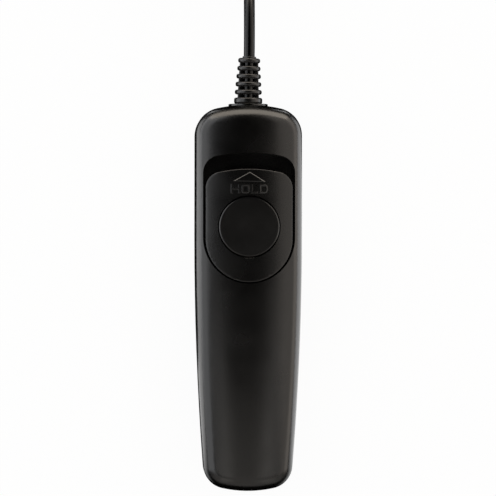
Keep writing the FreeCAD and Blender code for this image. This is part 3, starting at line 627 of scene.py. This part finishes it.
def tie_loop(reach):
    """The strip drawn tight round the turns, with its outer side at a reach from their middles."""
    rim = []
    for crossing in tie_crossings():
        for step in range(tie_round_steps):
            angle = math.tau * step / tie_round_steps
            rim.append(Vector((crossing.x + reach * math.cos(angle), crossing.z + reach * math.sin(angle))))
    tight = [rim[index] for index in convex_hull_2d(rim)]
    low = Vector((min(x for x, z in tight), 0, min(z for x, z in tight)))
    high = Vector((max(x for x, z in tight), 0, max(z for x, z in tight)))
    loop_middle = (low + high) / 2 + Vector((0, coil_middle.y, 0))
    half = (high - low) / 2
    build = bmesh.new()
    build.faces.new([build.verts.new((x - loop_middle.x, 0, z - loop_middle.z)) for x, z in tight])
    bmesh.ops.delete(build, geom=build.faces[:], context="FACES_ONLY")
    row = build.edges[:]
    for width, ridge in tie_rows:
        made = bmesh.ops.extrude_edge_only(build, edges=row)["geom"]
        row = [item for item in made if isinstance(item, bmesh.types.BMEdge)]
        line = [item for item in made if isinstance(item, bmesh.types.BMVert)]
        bmesh.ops.translate(build, verts=line, vec=(0, width * mm, 0))
        swell = [1 + ridge * mm / side if side else 1 for side in half]
        bmesh.ops.scale(build, verts=line, vec=swell)
    bmesh.ops.recalc_face_normals(build, faces=build.faces)
    bmesh.ops.solidify(build, geom=build.faces[:], thickness=tie_thickness)
    half_width = sum(width for width, ridge in tie_rows) / 2 * mm
    bmesh.ops.translate(build, verts=build.verts, vec=loop_middle - Vector((0, half_width, 0)))
    return build


def tie_twist(foot):
    """The two ends of the strip, wound round each other and leaning a little."""
    build = bmesh.new()
    section = build.faces.new([build.verts.new((x * mm, y * mm, 0)) for x, y in twist_section])
    bmesh.ops.spin(
        build, geom=[section], cent=(0, 0, 0), axis=(0, 0, 1), dvec=(0, 0, twist_length / twist_steps),
        angle=math.tau * twist_turns, steps=twist_steps, use_duplicate=False,
    )
    bmesh.ops.recalc_face_normals(build, faces=build.faces)
    bmesh.ops.rotate(
        build, verts=build.verts, cent=(0, 0, 0),
        matrix=Vector((0, 0, 1)).rotation_difference(Vector(twist_lean)).to_matrix(),
    )
    bmesh.ops.translate(build, verts=build.verts, vec=foot)
    return build


def cord_tie():
    reach = cord_diameter / 2 + tie_gap + tie_thickness
    build = tie_loop(reach)
    add_to(build, tie_twist(tie_crossings()[-1] + Vector((0, 0, reach - tie_thickness))))
    finished("cord_tie_strip", build, tie_plastic, "handle", "tie_plastic", "cord_tie")


cord_tie()


# Plug
# A small three-pole jack at the cord's far end: a ribbed rubber relief, a black grip with four grooves, and
# turned brass contacts with thin gold plate, kept apart by two black rings.
plug_relief_ribs = 3
plug_relief_rib = 1.0 * mm
plug_relief_start = 2.1 * mm
plug_relief_growth = 0.23 * mm
plug_relief_notch = 0.45 * mm
plug_rubber = black_plastic("plug_rubber", (0.008, 0.008, 0.009), 0.7, 0.4, 0.15 * mm, 0.004 * mm)
plug_plastic = black_plastic("plug_plastic", (0.01, 0.01, 0.011), 0.8, 0.34, 0.18 * mm, 0.005 * mm)
plug_insulation = black_plastic("plug_insulation", (0.012, 0.012, 0.012), 0.6, 0.36, 0.1 * mm, 0.002 * mm)


def plug_relief():
    low, high = (Vector(corner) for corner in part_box("plug_relief"))
    middle = (low + high) / 2
    core = [(0, 0)]
    rounded = []
    for rib in range(plug_relief_ribs):
        radius = plug_relief_start + plug_relief_growth * rib
        start = 2 * rib * plug_relief_rib
        waist = radius - plug_relief_notch
        rounded += [len(core), len(core) + 1]
        core += [(start, radius), (start + plug_relief_rib, radius)]
        core += [(start + plug_relief_rib, waist), (start + 2 * plug_relief_rib, waist)]
    core.append((core[-1][0], 0))
    build = turned(core, rounded, 0.22 * mm)
    bmesh.ops.translate(build, verts=build.verts, vec=(middle.x, low.y, middle.z))
    finished("plug_relief_sleeve", build, plug_rubber, "handle", "cord_rubber", "plug_relief")


def plug_metal_material():
    material, nodes, links, shader = new_material("plug_metal")
    shader.inputs["Metallic"].default_value = 1.0
    lines = noise(nodes, links, object_place(nodes, links, (0.1, 1, 0.1)), 0.05 * mm, 2.0)
    cloud = ranged(nodes, links, noise(nodes, links, object_place(nodes, links), 1.2 * mm, 3.0), 0, 1)
    links.new(mixed(nodes, links, cloud, (0.85, 0.68, 0.38), (0.8, 0.62, 0.32)), shader.inputs["Base Color"])
    links.new(ranged(nodes, links, lines, 0.14, 0.22), shader.inputs["Roughness"])
    bumped(nodes, links, shader, lines, 0.0006 * mm)
    return material


plug_relief()
smoothed("plug_grip", plug_plastic, "handle")
plug_metal = plug_metal_material()
smoothed("plug_sleeve", plug_metal, "handle")
smoothed("plug_ring", plug_metal, "handle")
smoothed("plug_tip", plug_metal, "handle")
smoothed("plug_insulators", plug_insulation, "handle")


# Table and light
# A white table in an even light that gloss doesn't show, and soft lamps: a high and a low one on each side, a
# warm one beyond the cord, four weak ones round the lower end and two small ones above. In gloss the table
# shows a painted reflection: it glows only on each side of the handle, from an edge that lies further out
# towards its upper end, and beside the cord, and is dark round the handle as a painted shadow of it.
room_light = 0.5
ceiling_in_gloss = 0.0
table_half_side = 3.0
table_white = 0.9
table_seen_white = 0.95
# How bright the table's painted reflection glows in gloss
painted_reflection_glow = 1.45
white_left_edges = (-20 * mm, -32 * mm)
white_left_edges_at = (-22 * mm, -12 * mm)
white_right_edges = (15.5 * mm, 30 * mm)
white_right_edges_at = (25 * mm, 46 * mm)
white_left_softness = 3 * mm
white_right_softness = 6 * mm
white_ends = (-70 * mm, -42 * mm, 58 * mm, 74 * mm)
cord_white_aside = (17 * mm, 19 * mm, 25 * mm, 28 * mm)
cord_white_far = (44 * mm, 50 * mm)
cord_white_ends = (65 * mm, 68 * mm, 88 * mm, 94 * mm)


def ray_share(nodes, links, kinds):
    """The shares of several kinds of ray, added up."""
    path = nodes.new("ShaderNodeLightPath")
    total = None
    for kind, share in kinds:
        part = nodes.new("ShaderNodeMath")
        part.operation = "MULTIPLY_ADD"
        links.new(path.outputs[kind], part.inputs[0])
        part.inputs[1].default_value = share
        part.inputs[2].default_value = 0
        if total is not None:
            links.new(total, part.inputs[2])
        total = part.outputs["Value"]
    return total


def combined(nodes, links, operation, first, second):
    node = nodes.new("ShaderNodeMath")
    node.operation = operation
    links.new(first, node.inputs[0])
    if second is not None:
        links.new(second, node.inputs[1])
    return node.outputs["Value"]


def between(nodes, links, place, low_from, low_full, high_full, high_from):
    """One between two ends, and none past them."""
    above = ranged(nodes, links, place, 0, 1, low_from, low_full)
    below = ranged(nodes, links, place, 1, 0, high_full, high_from)
    return combined(nodes, links, "MULTIPLY", above, below)


def painted_reflection_places(nodes, links):
    """Where the table glows in gloss as a painted reflection: on each side of the handle, and in strips
    beside the cord.
    """
    split = nodes.new("ShaderNodeSeparateXYZ")
    links.new(nodes.new("ShaderNodeTexCoord").outputs["Object"], split.inputs["Vector"])
    x, y = split.outputs["X"], split.outputs["Y"]
    left_edge = ranged(nodes, links, y, *white_left_edges, *white_left_edges_at)
    right_edge = ranged(nodes, links, y, *white_right_edges, *white_right_edges_at)
    past_left = combined(nodes, links, "SUBTRACT", left_edge, x)
    past_right = combined(nodes, links, "SUBTRACT", x, right_edge)
    left = ranged(nodes, links, past_left, 0, 1, -white_left_softness / 2, white_left_softness / 2)
    right = ranged(nodes, links, past_right, 0, 1, -white_right_softness / 2, white_right_softness / 2)
    sides = combined(nodes, links, "ADD", left, right)
    beside_handle = combined(nodes, links, "MULTIPLY", sides, between(nodes, links, y, *white_ends))
    aside = combined(nodes, links, "ABSOLUTE", x, None)
    near = between(nodes, links, aside, *cord_white_aside)
    far = ranged(nodes, links, aside, 0, 1, *cord_white_far)
    strips = combined(nodes, links, "ADD", near, far)
    beside_cord = combined(nodes, links, "MULTIPLY", strips, between(nodes, links, y, *cord_white_ends))
    return combined(nodes, links, "MAXIMUM", beside_handle, beside_cord)


def white_table():
    build = bmesh.new()
    bmesh.ops.create_grid(build, x_segments=1, y_segments=1, size=table_half_side)
    data = bpy.data.meshes.new("table")
    build.to_mesh(data)
    build.free()
    table = bpy.data.objects.new("table", data)
    bpy.context.scene.collection.objects.link(table)
    material, nodes, links, shader = new_material("white_table")
    shader.inputs["Base Color"].default_value = (table_white, table_white, table_white, 1)
    shader.inputs["Roughness"].default_value = 0.9
    gloss = ray_share(nodes, links, (("Is Glossy Ray", painted_reflection_glow),))
    seen = ray_share(nodes, links, (("Is Camera Ray", 1.0), ("Is Transmission Ray", 1.0)))
    glow = nodes.new("ShaderNodeEmission")
    # Painted reflection: in gloss the table glows only in the masked places, and is dark round the handle as
    # a painted shadow
    in_gloss = combined(nodes, links, "MULTIPLY", gloss, painted_reflection_places(nodes, links))
    links.new(combined(nodes, links, "ADD", in_gloss, seen), glow.inputs["Strength"])
    share = ray_share(nodes, links, (
        ("Is Camera Ray", table_seen_white), ("Is Transmission Ray", table_seen_white),
        ("Is Glossy Ray", 1.0),
    ))
    mix = nodes.new("ShaderNodeMixShader")
    links.new(share, mix.inputs["Fac"])
    links.new(shader.outputs["BSDF"], mix.inputs[1])
    links.new(glow.outputs["Emission"], mix.inputs[2])
    links.new(mix.outputs["Shader"], nodes["Material Output"].inputs["Surface"])
    data.materials.append(material)


def room():
    """An even light from all round, seen white by the camera and dark in gloss."""
    world = bpy.data.worlds.new("room")
    world.use_nodes = True
    nodes, links = world.node_tree.nodes, world.node_tree.links
    shade = ray_share(nodes, links, (
        ("Is Camera Ray", 1.0), ("Is Diffuse Ray", room_light), ("Is Glossy Ray", ceiling_in_gloss),
    ))
    links.new(shade, nodes["Background"].inputs["Color"])
    bpy.context.scene.world = world


def soft_lamp(name, azimuth, elevation, distance, size, brightness, colour):
    """A rectangular lamp that faces the handle; azimuth 0 is beyond the cord and 90 on the right."""
    data = bpy.data.lights.new(name, "AREA")
    data.shape = "RECTANGLE"
    data.size, data.size_y = size
    data.energy = brightness * math.pi * size[0] * size[1]
    data.color = colour
    light = bpy.data.objects.new(name, data)
    turn, tilt = math.radians(azimuth), math.radians(elevation)
    towards = Vector((math.sin(turn) * math.cos(tilt), math.cos(turn) * math.cos(tilt), math.sin(tilt)))
    light.location = towards * distance
    light.rotation_euler = towards.to_track_quat("Z", "Y").to_euler()
    bpy.context.scene.collection.objects.link(light)


white_table()
room()
soft_lamp("left_lamp", -77, 28, 0.8, (1.3, 0.85), 0.74, (0.97, 0.98, 1.0))
soft_lamp("left_low_lamp", -66, 6, 0.8, (1.0, 0.26), 0.65, (0.97, 0.98, 1.0))
soft_lamp("right_lamp", 76, 34, 0.8, (1.25, 0.85), 0.48, (1.0, 0.92, 0.84))
soft_lamp("right_low_lamp", 80, 13, 0.8, (1.4, 0.5), 0.42, (1.0, 0.9, 0.8))
soft_lamp("cord_side_lamp", 1, 19, 0.75, (1.3, 0.5), 1.75, (1.0, 0.9, 0.78))
soft_lamp("lower_end_lamp", 180, 45, 1.0, (0.9, 1.2), 0.26, (1.0, 0.94, 0.87))
soft_lamp("lower_left_lamp", -144, 28, 0.8, (0.45, 0.45), 0.26, (1.0, 0.95, 0.9))
soft_lamp("lower_right_lamp", 144, 28, 0.8, (0.45, 0.45), 0.26, (1.0, 0.94, 0.87))
soft_lamp("lower_low_lamp", 180, 8, 0.8, (2.6, 0.2), 0.24, (1.0, 0.95, 0.9))
soft_lamp("upper_left_lamp", -126, 61, 0.8, (0.34, 0.2), 0.32, (1.0, 0.97, 0.93))
soft_lamp("upper_right_lamp", 126, 61, 0.8, (0.34, 0.2), 0.32, (1.0, 0.95, 0.9))
bpy.context.scene.view_settings.view_transform = "Standard"

bpy.context.view_layer.update()
